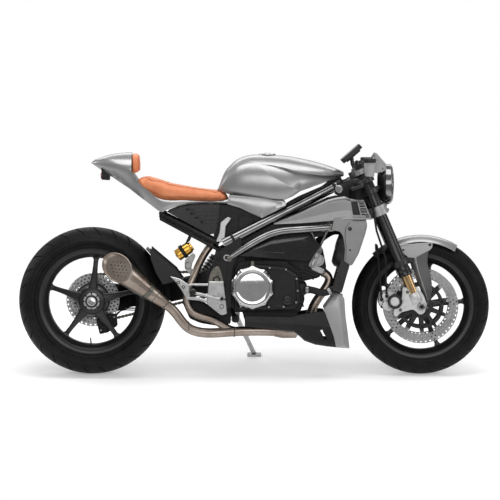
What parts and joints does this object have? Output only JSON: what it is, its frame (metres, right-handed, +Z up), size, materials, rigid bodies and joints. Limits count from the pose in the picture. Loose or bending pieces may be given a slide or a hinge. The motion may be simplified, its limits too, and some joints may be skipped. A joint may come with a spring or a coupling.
{
  "type": "cafe racer motorcycle",
  "caption": "Cafe racer motorcycle with hump tail, round headlamp, tube frame and single-sided swingarm, leaning on its side stand.",
  "frame": {"origin": "on the floor under the middle of the parked motorcycle's length and width", "axes": "+X forward, +Y to the rider's left, +Z up; the motorcycle leans to +Y on its side stand"},
  "size_m": [2.049, 0.7246, 1.0038],
  "materials": {
    "tyre_rubber": "matt black rubber",
    "wheel_black": "satin black cast wheel",
    "disc_steel": "ground steel",
    "chain_steel": "oiled steel",
    "hub_grey": "machined",
    "carrier_silver": "satin cast",
    "fork_black": "gloss black tube",
    "slider_gold": "bronze coated",
    "grip_rubber": "ribbed rubber",
    "control_black": "black anodised",
    "lamp_black": "satin black with a bright rim",
    "lamp_glass": "clear lens",
    "display_black": "display in a black case",
    "body_silver": "satin silver paint",
    "frame_aluminium": "polished tube",
    "casting_black": "satin black casting",
    "engine_black": "black engine paint",
    "chrome": "chromed ring",
    "plastic_black": "moulded black plastic",
    "seat_leather": "tan leather",
    "shock_steel": "spring steel",
    "reservoir_gold": "gold anodised",
    "exhaust_brown": "heat tinted titanium",
    "hanger_silver": "satin forged"
  },
  "bodies": {
    "root": {"drive_chain": "chain_steel", "front_sprocket": "chain_steel", "steering_head": "casting_black", "upper_rails": "frame_aluminium", "lower_rails": "frame_aluminium", "pivot_plates": "casting_black", "swingarm": "casting_black", "rear_caliper": "casting_black", "engine_cases": "engine_black", "cylinder_banks": "engine_black", "clutch_cover": "chrome", "left_engine_covers": "engine_black", "airbox_covers": "plastic_black", "subframe": "casting_black", "tail_cowl": "body_silver", "seat_pad": "seat_leather", "tail_pad": "seat_leather", "tail_lamp": "casting_black", "seat_side_panels": "casting_black", "fuel_tank": "body_silver", "fuel_cap": "frame_aluminium", "shock_absorber": "shock_steel", "shock_reservoir": "reservoir_gold", "rear_hugger": "plastic_black", "radiator": "casting_black", "fairing_panels": "body_silver", "belly_pan": "plastic_black", "chin_panels": "body_silver", "exhaust_pipes": "exhaust_brown", "muffler": "exhaust_brown", "footrests": "hanger_silver"},
    "steering": {"fork_tubes": "fork_black", "fork_sliders": "slider_gold", "axle_carriers": "carrier_silver", "triple_clamps": "carrier_silver", "clip_ons": "fork_black", "grips": "grip_rubber", "brake_levers": "control_black", "brake_hoses": "grip_rubber", "headlamp_shell": "lamp_black", "headlamp_lens": "lamp_glass", "instrument": "display_black", "front_mudguard": "body_silver", "front_calipers": "carrier_silver"},
    "front_wheel": {"front_tyre": "tyre_rubber", "front_rim": "wheel_black", "front_discs": "disc_steel"},
    "rear_wheel": {"rear_tyre": "tyre_rubber", "rear_rim": "wheel_black", "rear_disc": "disc_steel", "rear_hub": "hub_grey", "rear_sprocket": "chain_steel"},
    "stand": {"side_stand": "hanger_silver"}
  },
  "joints": [
    {"name": "steering_turn", "type": "hinge", "parent": "root", "child": "steering", "pos_m": [0.48116, -0.00396, 0.78173], "axis": [-0.3907, 0.1598, 0.9065], "range_deg": [-27, 27]},
    {"name": "front_wheel_spin", "type": "hinge", "parent": "steering", "child": "front_wheel", "pos_m": [0.72552, -0.0897, 0.29546], "axis": [0, 0.9848, -0.1736], "continuous": true},
    {"name": "rear_wheel_spin", "type": "hinge", "parent": "root", "child": "rear_wheel", "pos_m": [-0.70452, -0.08595, 0.31672], "axis": [0, 0.9848, -0.1736], "continuous": true},
    {"name": "side_stand_fold", "type": "hinge", "parent": "root", "child": "stand", "pos_m": [-0.07951, 0.03682, 0.2183], "axis": [0.1, 0.902, 0.42], "range_deg": [0, 100]}
  ]
}
